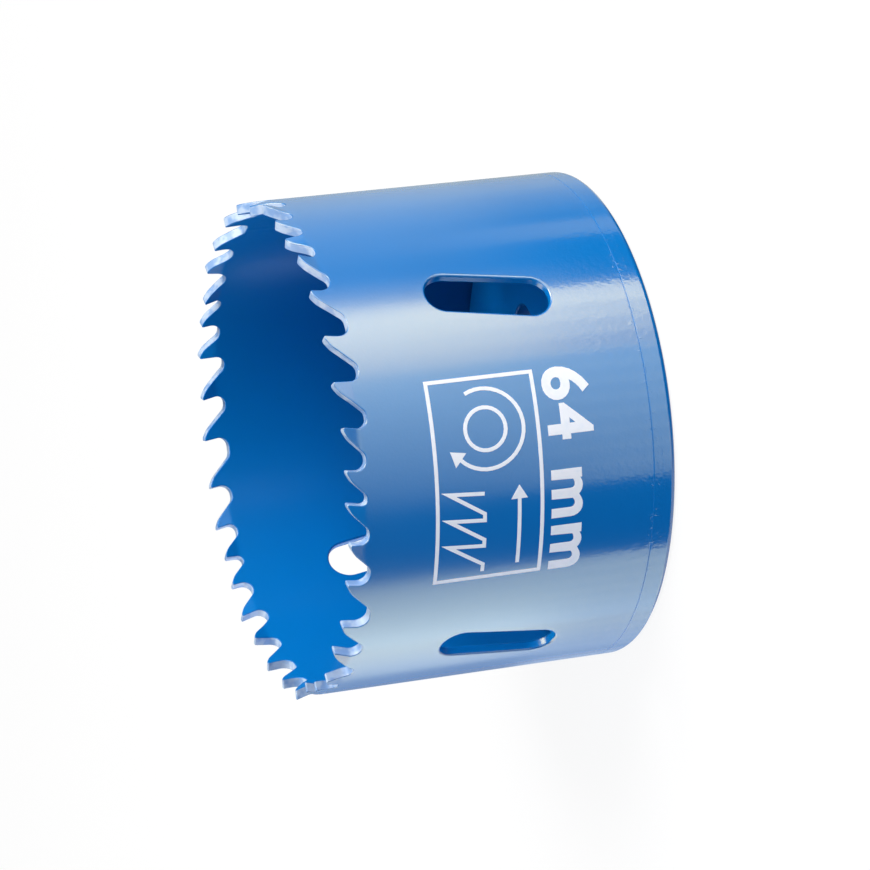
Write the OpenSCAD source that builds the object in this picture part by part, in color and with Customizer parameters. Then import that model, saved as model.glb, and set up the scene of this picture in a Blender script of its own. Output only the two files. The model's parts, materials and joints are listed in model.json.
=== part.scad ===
// Hole saw cup for a 64 mm hole: a strip rolled into a shell, with set hook teeth
// on its rim and four leaning slots, welded to a stepped back plate.
// It stands on the back plate with its teeth up. The origin is the centre of the
// back face, +Z points to the teeth, and the slots lie on the X and Y axes.

/* [Cup] */
// Outside diameter of the shell and of the flange that it stands on
body_d = 63; // [50:0.5:90]
// Thickness of the rolled strip
wall = 1.3; // [1:0.05:1.8]
// Height from the back face to the tooth tips
height = 42.4; // [38:0.2:60]

/* [Back plate] */
// Thickness of the flange under the shell
flange_t = 3; // [2:0.1:5]
// Height of the spigot that centres the shell
spigot_h = 1.4; // [0.8:0.1:3]
// Radial gap between the spigot and the shell
spigot_gap = 0.05; // [0.02:0.01:0.15]
// Chamfer on the spigot's upper edge
spigot_c = 0.4; // [0.2:0.05:0.7]
// Radius on the flange's back edge
edge_r = 0.8; // [0.4:0.1:1.5]
// Chamfer on both sides of the welded joint, which leaves a fine groove
seam_c = 0.2; // [0.1:0.05:0.4]

/* [Fixing] */
// Diameter of the bore at the crests of the 5/8 inch thread
bore_d = 14.6; // [12:0.1:18]
// Lead-in chamfer at each end of the bore
lead_c = 0.8; // [0.4:0.1:1]
// Diameter of the circle through the drive pin holes
pin_pcd = 25.4; // [25:0.1:34]
// Number of drive pin holes
pin_n = 4; // [2:1:4]
// Diameter of a drive pin hole
pin_d = 6.5; // [5:0.1:7]
// Turn of the first drive pin hole from the first slot
pin_turn = -6; // [-40:1:40]

/* [Slots] */
// Number of slots round the shell
slot_n = 4; // [2:1:6]
// Width of a slot
slot_w = 5.2; // [4:0.1:8]
// Length of a slot along its own middle line
slot_l = 15.8; // [10:0.2:20]
// Height of a slot's middle above the back face
slot_z = 20.6; // [18:0.2:23]
// Lean of a slot towards the cutting direction
slot_lean = 10; // [0:1:20]

/* [Teeth] */
// Shortest pitch in a group of teeth, along the rim
pitch_fine = 4.2; // [4:0.05:5]
// Longest pitch in a group of teeth, along the rim
pitch_coarse = 6.6; // [6:0.05:8]
// Depth of the shallowest gullet
gullet_min = 2.3; // [2.1:0.05:2.6]
// Depth of the deepest gullet
gullet_max = 3.2; // [2.8:0.05:4]
// Radius of the two arcs of a gullet
gullet_r = 1.3; // [0.8:0.05:1.4]
// Shortest flat between the two arcs of a gullet
gullet_flat = 0.2; // [0.1:0.05:0.4]
// Forward lean of a tooth's cutting face
rake = 8; // [2:1:12]
// Slope of a tooth's back
back_deg = 44; // [40:1:52]
// Slope of the land behind a tooth's tip
land_deg = 27; // [15:1:32]
// Length of the land
land_l = 1; // [0.7:0.1:1.2]
// Blunt width left at a tooth's tip
tip_w = 0.45; // [0.4:0.05:0.6]
// Sideways reach of a tooth that is bent out or in
set_w = 0.5; // [0.2:0.05:0.7]
// Height of the bend line above the floor of the shallowest gullet
bend_rise = 0.3; // [0.2:0.05:0.6]
// Turn of the first tooth from the first slot
first_tooth = -1.4; // [-20:0.2:20]

/* [Hidden] */
$fn = 180;
ROUND_FN = 80;
ARC_STEPS = 6;
OVER = 1;
RISE = 0.1;
SLIT = 0.2;
LACQUER = [0.02, 0.33, 0.68];
LACQUER_DARK = [0.02, 0.27, 0.58];

body_r = body_d / 2;
inner_r = body_r - wall;
plate_t = flange_t + spigot_h;
bend_z = height - gullet_min + bend_rise;

// The teeth come in groups of seven with uneven pitches, so that the saw does not
// chatter. Each row is one tooth: the share of the way from the fine to the coarse
// pitch ahead of it, from the shallow to the deep gullet there, and the way it is
// bent (1 out, -1 in, 0 straight).
GROUP = [[0.6, 0.45, 0], [0.3, 0.2, 1], [0, 0, -1], [0.4, 0.2, 0],
         [0.65, 1, 1], [0.7, 1, -1], [1, 1, 0]];

rim_l = PI * body_d;
function row(i) = GROUP[i % len(GROUP)];
function pitch(i) = pitch_fine + row(i)[0] * (pitch_coarse - pitch_fine);
function way(i) = row(i)[2];

// Places of the teeth along the rim. The last gap closes the ring, where the
// strip's ends are joined, and is never shorter than the fine pitch.
function lay_teeth(i, s) = rim_l - s < pitch_fine ? [] : concat([s], lay_teeth(i + 1, s + pitch(i)));
tooth_s = lay_teeth(0, 0);
tooth_n = len(tooth_s);
function before(i) = (i + tooth_n - 1) % tooth_n;
function place(i) = i < tooth_n ? tooth_s[i] : rim_l;
function gap_w(i) = place(i + 1) - place(i);
function gap_depth(i) = gullet_min + (i == tooth_n - 1 ? 1 : row(i)[1]) * (gullet_max - gullet_min);
function middle(i) = first_tooth + 180 * (place(i) + place(i + 1)) / rim_l;
function floor_turn(i) = middle(i) + 360 * (floor_x(gap_w(i), gap_depth(i)) - gap_w(i) / 2) / rim_l;

// A gap between two teeth, drawn in the flat strip: x runs forward from the tip of
// the tooth behind it, and y is the height from the tips. Its two arcs touch the
// cutting face, the floor and the next tooth's back, and its sides run on past the tips.
function land_x(w) = w - tip_w - land_l;
land_y = -land_l * tan(land_deg);
function arc_r(w, d) =
    min(gullet_r,
        (land_x(w) - (d + land_y) / tan(back_deg) + d * tan(rake) - gullet_flat)
        / ((1 + sin(rake)) / cos(rake) + tan(back_deg / 2)));
function front_x(r, d) = (r + (r - d) * sin(rake)) / cos(rake);
function rear_x(w, r, d) = land_x(w) + ((r - d - land_y) * cos(back_deg) - r) / sin(back_deg);
function floor_x(w, d) = (front_x(arc_r(w, d), d) + rear_x(w, arc_r(w, d), d)) / 2;
function arc(c, r, from, to) =
    [for (k = [0 : ARC_STEPS]) let (a = from + k * (to - from) / ARC_STEPS) c + r * [cos(a), sin(a)]];

module gap_outline(w, d) {
    r = arc_r(w, d);
    polygon(concat([[RISE * tan(rake), RISE]],
                   arc([front_x(r, d), r - d], r, 180 + rake, 270),
                   arc([rear_x(w, r, d), r - d], r, 270, 270 + back_deg),
                   [[land_x(w), land_y], [w - tip_w + RISE / tan(land_deg), RISE]]));
}

// Pushes an outline, drawn as x along the rim and y up, through the wall at an angle.
module through_wall(angle, z) {
    rotate([90, 0, 90 + angle]) translate([0, z, inner_r - set_w - OVER])
        linear_extrude(wall + 2 * (set_w + OVER)) children();
}

module gap(i) {
    w = gap_w(i);
    through_wall(middle(i), height) translate([-w / 2, 0]) gap_outline(w, gap_depth(i));
}

module slot(i) {
    through_wall(i * 360 / slot_n, slot_z) rotate(-slot_lean) {
        square([slot_w, slot_l - slot_w], center = true);
        for (side = [-1, 1]) translate([0, side * (slot_l - slot_w) / 2])
            circle(slot_w / 2, $fn = ROUND_FN);
    }
}

// A wedge that holds tooth i, from the gullet floor behind it to the one ahead.
module sector(i) {
    from = floor_turn(before(i)) + SLIT;
    to = floor_turn(i) - SLIT;
    far = 2 * body_r;
    linear_extrude(height + OVER)
        polygon([[0, 0], far * [cos(from), sin(from)], far * [cos(to), sin(to)]]);
}

// The teeth that lean one way: out (1), in (-1) or not at all (0), still without gullets.
module rim(lean) {
    reach = lean * set_w;
    intersection() {
        ring([[inner_r, bend_z], [body_r, bend_z], [body_r + reach, height], [inner_r + reach, height]]);
        for (i = [0 : tooth_n - 1]) if (way(i) == lean) sector(i);
    }
}

// Turns a section into a ring whose ends meet where the strip was joined.
module ring(section) {
    rotate([0, 0, floor_turn(tooth_n - 1)]) rotate_extrude() polygon(section);
}

module toothed_shell() {
    color(LACQUER) difference() {
        union() {
            ring([[inner_r, flange_t], [body_r - seam_c, flange_t], [body_r, flange_t + seam_c],
                  [body_r, bend_z], [inner_r, bend_z]]);
            for (lean = [-1 : 1]) rim(lean);
        }
        for (i = [0 : slot_n - 1]) slot(i);
        for (i = [0 : tooth_n - 1]) gap(i);
    }
}

module back_plate() {
    spigot_r = inner_r - spigot_gap;
    bore_r = bore_d / 2;
    color(LACQUER_DARK) difference() {
        rotate_extrude() {
            polygon([[bore_r + lead_c, 0], [body_r - edge_r, 0], [body_r, edge_r],
                [body_r, flange_t - seam_c], [body_r - seam_c, flange_t], [spigot_r, flange_t],
                [spigot_r, plate_t - spigot_c], [spigot_r - spigot_c, plate_t],
                [bore_r + lead_c, plate_t], [bore_r, plate_t - lead_c], [bore_r, lead_c]]);
            translate([body_r - edge_r, edge_r]) circle(edge_r, $fn = ROUND_FN);
        }
        for (i = [0 : pin_n - 1]) rotate([0, 0, pin_turn + i * 360 / pin_n])
            translate([pin_pcd / 2, 0, -OVER])
                cylinder(d = pin_d, h = plate_t + 2 * OVER, $fn = ROUND_FN);
    }
}

toothed_shell();
back_plate();
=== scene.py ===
# %% [markdown]
# # A lacquered hole saw cup
#
# This notebook dresses one tool: the cup of a hole saw, 63 mm across, standing on its
# back plate with its teeth up. The real one starts as a flat strip of steel with a tooth
# edge. The strip is punched, rolled into a ring, welded shut and welded to a turned plate,
# and the whole thing is sprayed with blue lacquer, teeth and all.
#
# The construction model already comes at its true size, so the first step loads it
# and reads sizes from it. Everything drawn here has to land in the same place.

# %% Load the imported part
import json
import math

import bmesh
import bpy
import numpy as np
from mathutils import Matrix, Vector
from mathutils.geometry import delaunay_2d_cdt
from mathutils.kdtree import KDTree


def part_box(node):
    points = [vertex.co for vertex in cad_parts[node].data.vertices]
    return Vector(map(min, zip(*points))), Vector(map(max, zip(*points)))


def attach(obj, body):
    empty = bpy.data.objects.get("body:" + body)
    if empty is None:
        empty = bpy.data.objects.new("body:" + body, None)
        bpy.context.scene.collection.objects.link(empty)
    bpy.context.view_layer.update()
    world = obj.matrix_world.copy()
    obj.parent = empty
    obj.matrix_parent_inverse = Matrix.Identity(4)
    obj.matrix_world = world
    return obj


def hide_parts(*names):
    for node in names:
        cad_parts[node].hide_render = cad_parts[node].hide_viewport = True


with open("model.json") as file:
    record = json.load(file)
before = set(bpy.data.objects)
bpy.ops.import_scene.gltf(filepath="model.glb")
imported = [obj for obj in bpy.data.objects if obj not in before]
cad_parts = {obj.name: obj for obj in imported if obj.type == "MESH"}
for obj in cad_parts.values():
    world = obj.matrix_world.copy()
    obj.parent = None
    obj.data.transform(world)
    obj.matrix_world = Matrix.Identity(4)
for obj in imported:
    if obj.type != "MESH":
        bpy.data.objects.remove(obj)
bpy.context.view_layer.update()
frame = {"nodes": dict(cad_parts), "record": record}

# %% [markdown]
# ## Sizes
#
# All lengths of the tool are in millimetres, as on a drawing, and MM turns them into
# Blender's metres. Only the studio round it is laid out in metres. The main sizes come
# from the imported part: its boxes, its mounts, and the radius of the shell's foot. The
# rest repeat the part's own driving sizes.

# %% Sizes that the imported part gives
MM = 0.001
# Points within this height above the shell's lower edge belong to its foot
FOOT_BAND = 0.1

_, plate_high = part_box("back_plate")
shell_low, shell_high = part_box("toothed_shell")
mounts = {mount["name"]: mount["dims"] for mount in frame["record"]["mounts"]}
body_r = plate_high.x / MM
height = shell_high.z / MM
flange_t = shell_low.z / MM
plate_t = plate_high.z / MM
shell_points = [v.co / MM for v in frame["nodes"]["toothed_shell"].data.vertices]
inner_r = min(math.hypot(p.x, p.y) for p in shell_points if p.z < flange_t + FOOT_BAND)
wall = body_r - inner_r
bore_r = mounts["spindle_thread"]["r_mm"]
pin_r = mounts["drive_pin_holes"]["hole_r_mm"]
pin_circle_r = mounts["drive_pin_holes"]["pcd_mm"] / 2
pin_n = mounts["drive_pin_holes"]["count"]
print(f"body radius {body_r:.2f}, wall {wall:.2f}, height {height:.2f}, plate {plate_t:.2f} mm")

# %% [markdown]
# ## The rim's rhythm
#
# A hole saw would chatter if its teeth were evenly spaced, so they come in groups of
# seven with uneven pitches, and the gullets between them differ in depth too. Each tooth
# is also bent: one straight, one out, one in, and so on. One short table holds the whole
# rhythm, and a loop lays it round the rim until the strip is full.

# %% Tooth sizes
PITCH_FINE, PITCH_COARSE = 4.2, 6.6
GULLET_MIN, GULLET_MAX = 2.3, 3.2
GULLET_R = 1.3
GULLET_FLAT = 0.2
RAKE = math.radians(8)
BACK = math.radians(44)
LAND = math.radians(27)
LAND_L = 1.0
TIP_W = 0.45
SET_W = 0.5
BEND_RISE = 0.3
FIRST_TOOTH = math.radians(-1.4)
# Share of the pitch range ahead, share of the gullet range there, and the way it is bent
GROUP = [(0.6, 0.45, 0), (0.3, 0.2, 1), (0, 0, -1), (0.4, 0.2, 0),
         (0.65, 1, 1), (0.7, 1, -1), (1, 1, 0)]


# %% Lay the teeth along the strip
def lay_teeth(rim_l):
    """Place, gullet depth ahead and bend of every tooth on a rim of that length."""
    rows, place = [], 0.0
    while rim_l - place >= PITCH_FINE:
        pitch_share, depth_share, way = GROUP[len(rows) % len(GROUP)]
        rows.append([place, GULLET_MIN + depth_share * (GULLET_MAX - GULLET_MIN), way])
        place += PITCH_FINE + pitch_share * (PITCH_COARSE - PITCH_FINE)
    rows[-1][1] = GULLET_MAX
    return rows


rim_l = 2 * math.pi * body_r
teeth = lay_teeth(rim_l)
bend_z = height - GULLET_MIN + BEND_RISE
print(f"{len(teeth)} teeth on a rim of {rim_l:.1f} mm")

# %% [markdown]
# ## Paths with rounded corners
#
# The rim is a path with many corners, and every corner of the real one is round: a
# gullet is ground with a round-edged wheel, and lacquer pools on a sharp tip. Drawing each
# arc by hand would take pages. It is easier to give the corners and one radius each, and
# to let a function put the arcs in, as a drawing program's fillet tool does.


# %% A path from corners and radii
def rotated(vector, angle):
    c, s = math.cos(angle), math.sin(angle)
    return np.array([c * vector[0] - s * vector[1], s * vector[0] + c * vector[1]])


def unit(vector):
    return vector / np.linalg.norm(vector)


def rounded(corners, radii, arc_step=math.radians(9)):
    """An open path through the corners, with an arc of its own radius at each inner one."""
    corners = [np.array(c, float) for c in corners]
    path = [corners[0]]
    for before, here, after, radius in zip(corners, corners[1:], corners[2:], radii):
        to_here, away = unit(here - before), unit(after - here)
        turn = math.atan2(to_here[0] * away[1] - to_here[1] * away[0], to_here @ away)
        start = here - to_here * radius * math.tan(abs(turn) / 2)
        centre = start + radius * rotated(to_here, math.copysign(math.pi / 2, turn))
        steps = max(2, math.ceil(abs(turn) / arc_step))
        path.extend(centre + rotated(start - centre, turn * k / steps) for k in range(steps + 1))
    path.append(corners[-1])
    return np.array(path)


def circle(radius, steps, first=0, last=2 * math.pi):
    """Places on a circle from the first to the last angle."""
    turns = np.linspace(first, last, steps)
    return radius * np.column_stack([np.cos(turns), np.sin(turns)])


def divided(path, longest):
    """The same path with its long straight stretches cut into shorter ones."""
    points = [path[0]]
    for a, b in zip(path, path[1:]):
        pieces = max(1, math.ceil(np.linalg.norm(b - a) / longest))
        points.extend(a + (b - a) * k / pieces for k in range(1, pieces + 1))
    return np.array(points)


# %% [markdown]
# ## The toothed edge, drawn flat
#
# The strip is easiest to draw before it is rolled: x runs along the rim in the cutting
# direction and y is the height above the back face. Each gap between two teeth has five
# corners: the foot of the cutting face, the foot of the next tooth's back, the start of
# its land, and the two ends of its blunt tip. The path starts and ends in the middle of
# the last gullet, where the strip's ends meet and are welded.

# %% Corners of one gap
TIP_ROUND = 0.16
LAND_ROUND = 3.0
HEEL_ROUND = 0.8


def gap_corners(tip_x, next_x, depth):
    """Corners of the gap ahead of the tip at tip_x, and the radius of each."""
    land_x = next_x - TIP_W - LAND_L
    land_y = -LAND_L * math.tan(LAND)
    front_foot = tip_x - depth * math.tan(RAKE)
    back_foot = land_x - (depth + land_y) / math.tan(BACK)
    room = (back_foot - front_foot - GULLET_FLAT) / (math.tan(math.pi / 4 + RAKE / 2) + math.tan(BACK / 2))
    gullet_r = min(GULLET_R, room)
    corners = [(front_foot, -depth), (back_foot, -depth), (land_x, land_y),
               (next_x - TIP_W, 0), (next_x, 0)]
    floor_x = (front_foot + gullet_r * math.tan(math.pi / 4 + RAKE / 2)
               + back_foot - gullet_r * math.tan(BACK / 2)) / 2
    radii = [gullet_r, gullet_r, LAND_ROUND, HEEL_ROUND, TIP_ROUND]
    return [(x, y + height) for x, y in corners], radii, floor_x


# %% The whole rim as one path
def rim_path():
    """The toothed edge from weld to weld, and the middle of each gullet's floor."""
    places = [row[0] for row in teeth] + [rim_l]
    gaps = [gap_corners(places[i], places[i + 1], row[1]) for i, row in enumerate(teeth)]
    last_corners, last_radii, weld_x = gaps[-1]
    floor_y = height - teeth[-1][1]
    corners = [(weld_x - rim_l, floor_y)] + [(x - rim_l, y) for x, y in last_corners[1:]]
    radii = list(last_radii[1:])
    for gap, gap_radii, _ in gaps[:-1]:
        corners += gap
        radii += gap_radii
    corners += [last_corners[0], (weld_x, floor_y)]
    radii.append(last_radii[0])
    return rounded(corners, radii), [gap[2] for gap in gaps]


rim, floor_xs = rim_path()
weld_x = floor_xs[-1]
print(f"rim path of {len(rim)} points, welded {weld_x:.1f} mm along the strip")

# %% [markdown]
# ## Four leaning slots
#
# The slots let the saw be levered off its plug. Each is a stadium that leans ten degrees
# towards the cutting direction. Its path runs anticlockwise, so that here too the metal
# lies on the path's right.

# %% The slots
SLOT_N = 4
SLOT_W = 5.2
SLOT_L = 15.8
SLOT_Z = 20.6
SLOT_LEAN = math.radians(10)
# Steps round each end of a slot, and the longest piece of its straight sides
SLOT_STEPS = 24
SLOT_PIECE = 0.9


def slot_path(number):
    """A closed loop along the edge of one slot, without its last point."""
    centre = np.array([(2 * math.pi * number / SLOT_N - FIRST_TOOTH) * body_r, SLOT_Z])
    reach = (SLOT_L - SLOT_W) / 2
    points = []
    for side, start in ((1, 0), (-1, math.pi)):
        for k in range(SLOT_STEPS + 1):
            a = start + math.pi * k / SLOT_STEPS
            points.append(np.array([SLOT_W / 2 * math.cos(a), side * reach + SLOT_W / 2 * math.sin(a)]))
    loop = divided(np.array(points + points[:1]), SLOT_PIECE)[:-1]
    return centre + np.array([rotated(p, -SLOT_LEAN) for p in loop])


slots = [slot_path(number) for number in range(SLOT_N)]
print(f"{SLOT_N} slots of {SLOT_W} by {SLOT_L} mm, each a loop of {len(slots[0])} points")

# %% [markdown]
# ## Skin: rows of points that carry their own normals
#
# A glossy cylinder shows every fault in its shading, because a reflection moves twice as
# fast as the surface turns. Smooth shading from averaged faces leaves ripples wherever the
# triangles are uneven. The exact direction of this surface is known at each point, so the
# skin keeps a normal beside every point, and both go through the same bending later.


# %% Class Skin
class Skin:
    """Points, their normals and faces, in the flat frame of what is being made."""

    def __init__(self):
        self.points, self.normals, self.faces = [], [], []

    def add(self, points, normals):
        """Adds points and returns their numbers."""
        start = len(self.points)
        self.points.extend(np.asarray(points, float))
        self.normals.extend(np.asarray(normals, float))
        return np.arange(start, len(self.points))

    def bridge(self, rows, closed):
        """Joins each row of point numbers to the next with four-sided faces."""
        for a, b in zip(rows, rows[1:]):
            ahead_a, ahead_b = np.roll(a, -1), np.roll(b, -1)
            last = len(a) if closed else len(a) - 1
            self.faces.extend(zip(a[:last], ahead_a[:last], ahead_b[:last], b[:last]))


# %% [markdown]
# ## Rounded edges
#
# Lacquer never leaves a sharp edge, and these soft edges are what catches the light all
# along the teeth. A bevel modifier could round them, but it slides along whatever edges
# it finds and makes a mess beside thin triangles. Here each edge is a stack of rows: from
# the outer face, round a quarter circle, down through the wall, round again, and on to
# the inner face.


# %% Rows round an edge
def edge_sides(path, closed):
    """At each point the unit vector into the metal, and the same one stretched at corners."""
    if closed:
        ahead = np.roll(path, -1, axis=0) - path
        behind = path - np.roll(path, 1, axis=0)
    else:
        steps = np.diff(path, axis=0)
        ahead = np.concatenate([steps, steps[-1:]])
        behind = np.concatenate([steps[:1], steps])
    into = [np.stack([d[:, 1], -d[:, 0]], 1) / np.linalg.norm(d, axis=1)[:, None]
            for d in (ahead, behind)]
    both = into[0] + into[1]
    stretched = both / (1 + (into[0] * into[1]).sum(1))[:, None]
    return both / np.linalg.norm(both, axis=1)[:, None], stretched


def edge_rows(skin, path, closed, thickness, outer_r, inner_edge_r, steps=5):
    """Rows of point numbers from the outer face round the edge to the inner face."""
    into, stretched = edge_sides(path, closed)
    rows = []
    for radius, base, sign in ((outer_r, thickness, 1), (inner_edge_r, 0, -1)):
        angles = np.linspace(0, math.pi / 2, steps + 1)
        for a in angles if sign == 1 else angles[::-1]:
            flat = path + stretched * radius * (1 - math.sin(a))
            depth = base - sign * radius * (1 - math.cos(a))
            points = np.column_stack([flat, np.full(len(path), depth)])
            normals = np.column_stack([-into * math.sin(a), np.full(len(path), sign * math.cos(a))])
            rows.append(skin.add(points, normals))
    skin.bridge(rows, closed)
    return rows[0], rows[-1]


# %% [markdown]
# ## Filling a face that has holes
#
# The broad faces have an outline and holes. Blender's constrained Delaunay triangulation
# joins the outline's own points with a loose grid of points inside, so the face follows
# the cylinder closely when it is rolled up, and no bridge or boolean is needed.

# %% Fill between loops
# Corners nearer than this are one, and slivers smaller than this are left out
SAME_CORNER = 1e-7
LEAST_AREA = 1e-7


def inside(points, loops):
    """Which points lie in the area between the loops, by counting crossings."""
    within = np.zeros(len(points), bool)
    for loop in loops:
        for a, b in zip(loop, np.roll(loop, -1, axis=0)):
            if a[1] == b[1]:
                continue
            level = (a[1] > points[:, 1]) != (b[1] > points[:, 1])
            cross_x = a[0] + (points[:, 1] - a[1]) / (b[1] - a[1]) * (b[0] - a[0])
            within ^= level & (points[:, 0] < cross_x)
    return within


def clear_points(points, loops, gap):
    """The points that are inside the loops and at least gap away from them."""
    edge = np.concatenate(loops)
    tree = KDTree(len(edge))
    for number, p in enumerate(edge):
        tree.insert((p[0], p[1], 0), number)
    tree.balance()
    points = points[inside(points, loops)]
    return np.array([p for p in points if tree.find((p[0], p[1], 0))[2] > gap])


def filled(loops, grid, gap):
    """Points (the loops' own come first) and triangles that fill the area between loops."""
    points = np.concatenate(loops + [clear_points(grid, loops, gap)])
    edges, start = [], 0
    for loop in loops:
        numbers = list(range(start, start + len(loop)))
        edges += list(zip(numbers, numbers[1:] + numbers[:1]))
        start += len(loop)
    corners = [Vector(p) for p in points]
    _, _, faces, origins, _, _ = delaunay_2d_cdt(corners, edges, [], 0, SAME_CORNER)
    triangles = np.array([[origins[v][0] for v in face] for face in faces])
    a, b, c = (points[triangles[:, k]] for k in range(3))
    areas = np.abs((b - a)[:, 0] * (c - a)[:, 1] - (b - a)[:, 1] * (c - a)[:, 0]) / 2
    keep = inside((a + b + c) / 3, loops) & (areas > LEAST_AREA)
    return points, triangles[keep]


# %% Fill a face of a skin
def fill_face(skin, loops, depth, sign, grid, gap):
    """Fills the face between loops of point numbers. It looks up if the sign is 1, down if -1."""
    flat_loops = [np.array([skin.points[n][:2] for n in loop]) for loop in loops]
    points, triangles = filled(flat_loops, grid, gap)
    known = sum(len(loop) for loop in loops)
    extra = [(x, y, depth) for x, y in points[known:]]
    numbers = np.concatenate(loops + [skin.add(extra, [(0, 0, sign)] * len(extra))])
    order = (0, 1, 2) if sign == 1 else (0, 2, 1)
    skin.faces.extend(tuple(numbers[t[k]] for k in order) for t in triangles)


# %% [markdown]
# ## Rolling up the strip
#
# Rolling turns the distance along the strip into an angle, and the depth through the wall
# into a radius. The teeth are bent on the way: above the bend line a tooth leans out or
# in by a slope that starts softly, as a pressed bend does. Normals need more care than
# points. They go through the inverse slopes of the same map, which keeps them square to
# the surface.

# %% The bend of the teeth
# Half the height over which the lean sets in, and half the width where it changes over
BEND_EASE = 0.35
CROSSOVER = 0.3


def lean(x):
    """Which way the metal at x is bent, changing over in the middle of each gullet."""
    knots, ways = [-rim_l], [0]
    for turn in (-rim_l, 0, rim_l):
        for i, floor_x in enumerate(floor_xs):
            knots += [floor_x + turn - CROSSOVER, floor_x + turn + CROSSOVER]
            ways += [teeth[i][2], teeth[(i + 1) % len(teeth)][2]]
    order = np.argsort(knots)
    return np.interp(x, np.array(knots)[order], np.array(ways)[order])


def bend(x, y):
    """How far the metal at x, y is moved outwards by the bend."""
    rise = y - bend_z
    eased = (np.maximum(rise, -BEND_EASE) + BEND_EASE) ** 2 / (4 * BEND_EASE)
    soft = np.where(rise > BEND_EASE, rise, eased)
    return lean(x) * soft * SET_W / (height - bend_z)


# %% Strip to ring
SLOPE_STEP = 1e-3


def roll_up(points, normals):
    """Points and normals of the flat strip, moved to where they are on the ring."""
    x, y, depth = points.T
    moved = bend(x, y)
    slope_x = (bend(x + SLOPE_STEP, y) - bend(x - SLOPE_STEP, y)) / (2 * SLOPE_STEP)
    slope_y = (bend(x, y + SLOPE_STEP) - bend(x, y - SLOPE_STEP)) / (2 * SLOPE_STEP)
    turn = FIRST_TOOTH + x / body_r
    radius = inner_r + depth + moved
    out = np.column_stack([np.cos(turn), np.sin(turn), np.zeros_like(turn)])
    along = np.column_stack([-np.sin(turn), np.cos(turn), np.zeros_like(turn)])
    up = np.array([0.0, 0.0, 1.0])
    solid = out * radius[:, None] + up * y[:, None]
    along_n = ((normals[:, 0] - normals[:, 2] * slope_x) * body_r / radius)[:, None]
    up_n = (normals[:, 1] - normals[:, 2] * slope_y)[:, None]
    bent = along * along_n + up * up_n + out * normals[:, 2:3]
    return solid, bent / np.linalg.norm(bent, axis=1)[:, None]


# %% [markdown]
# ## From skin to mesh
#
# Points that land in the same place are made one, so the mesh is closed, but each face
# corner keeps its own normal. A count of the edges that do not have exactly two faces
# shows at once whether something was left open.

# %% Mesh from a skin
# Points this near to each other, in millimetres, become one
SAME_PLACE = 1e-4


def make_mesh(name, skin, bent=None):
    """A mesh in metres from a skin in millimetres, which a function may bend first."""
    points, normals = np.array(skin.points), np.array(skin.normals)
    if bent:
        points, normals = bent(points, normals)
    _, first, place = np.unique(np.round(points / SAME_PLACE).astype(int), axis=0,
                                return_index=True, return_inverse=True)
    place = place.ravel()
    faces, corner_normals = [], []
    for face in skin.faces:
        corners = [place[n] for n in face]
        kept = [k for k in range(len(face)) if corners[k] != corners[k - 1]]
        if len(set(corners)) > 2:
            faces.append([int(corners[k]) for k in kept])
            corner_normals += [normals[face[k]] for k in kept]
    mesh = bpy.data.meshes.new(name)
    mesh.from_pydata((points[first] * MM).tolist(), [], faces)
    mesh.shade_smooth()
    mesh.normals_split_custom_set(corner_normals)
    return mesh


def new_object(name, data):
    made = bpy.data.objects.new(name, data)
    bpy.context.scene.collection.objects.link(made)
    return made


def report(piece):
    """Prints a mesh's triangles, its edges that do not join two faces, and its volume."""
    check = bmesh.new()
    check.from_mesh(piece.data)
    open_edges = sum(len(edge.link_faces) != 2 for edge in check.edges)
    triangles = sum(len(face.verts) - 2 for face in check.faces)
    volume = check.calc_volume(signed=True) / MM ** 3
    print(f"{piece.name}: {triangles} triangles, {open_edges} open edges, {volume:.0f} mm3")
    check.free()


def make_piece(name, mesh, material, replaced=None):
    """A piece of the tool: it rides on the root and may stand for a node of the part."""
    piece = new_object(name, mesh)
    piece.data.materials.append(material)
    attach(piece, "root")
    if replaced:
        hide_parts(replaced)
    report(piece)


# %% [markdown]
# ## Shader maths in Python
#
# A material is a graph of nodes, and a graph is hard to read as code. This class wraps
# one socket so that sums and products of sockets can be written as plain expressions.
# Most of them are masks: 1 where something shows and 0 where it doesn't. Then 1 - mask
# is the rest, a product is where both show, and a | b is where either does.


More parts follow.
